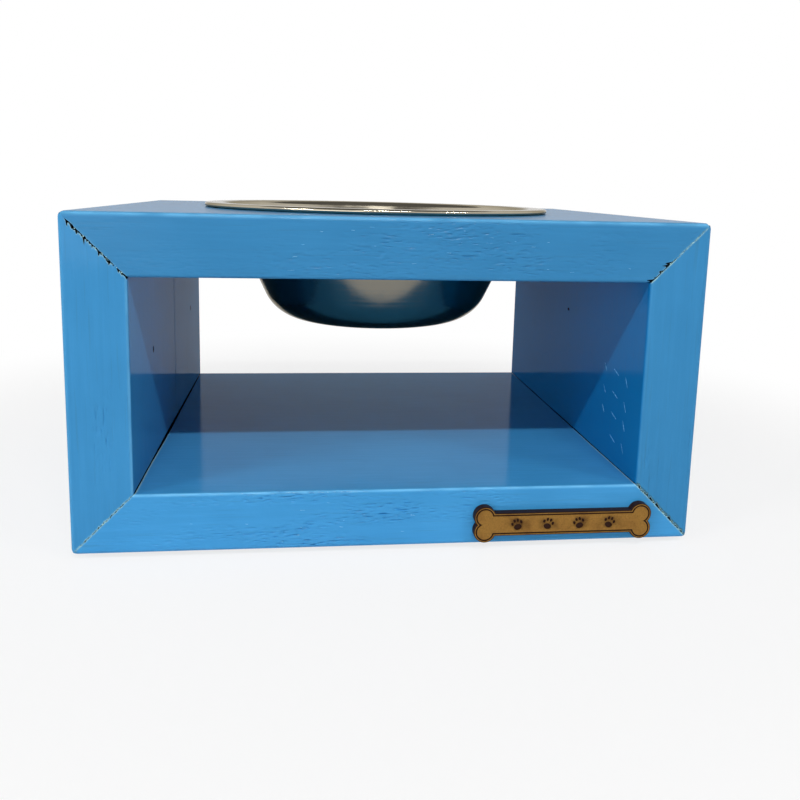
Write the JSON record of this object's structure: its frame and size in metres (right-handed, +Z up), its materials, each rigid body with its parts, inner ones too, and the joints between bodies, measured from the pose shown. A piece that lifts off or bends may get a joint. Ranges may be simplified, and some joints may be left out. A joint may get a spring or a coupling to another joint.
{
  "type": "pet bowl stand",
  "caption": "Raised pet feeder: a painted wooden box frame of mitred boards, open at front and back, with a round steel bowl that hangs by its rim in the top board and lifts out.",
  "frame": {"origin": "on the surface that the feet rest on, under the middle of the frame and on the bowl's axis", "axes": "+X to the right of the front, +Y from the front to the back, +Z up"},
  "size_m": [0.208, 0.1728, 0.1139],
  "materials": {
    "painted_wood": "gloss",
    "bowl_steel": "polished",
    "plaque_board": "satin",
    "nail_steel": "satin",
    "foot_rubber": "matte"
  },
  "bodies": {
    "frame": {"top_board": "painted_wood", "bottom_board": "painted_wood", "left_board": "painted_wood", "right_board": "painted_wood", "front_plaque": "plaque_board", "nails_top_left": "nail_steel", "nails_top_right": "nail_steel", "nails_bottom_left": "nail_steel", "nails_bottom_right": "nail_steel", "foot_front_left": "foot_rubber", "foot_front_right": "foot_rubber", "foot_back_left": "foot_rubber", "foot_back_right": "foot_rubber"},
    "bowl": {"bowl": "bowl_steel"}
  },
  "joints": [
    {"name": "bowl_lift", "type": "slide", "parent": "frame", "child": "bowl", "axis": [0, 0, 1], "range_m": [0, 0.06]}
  ]
}
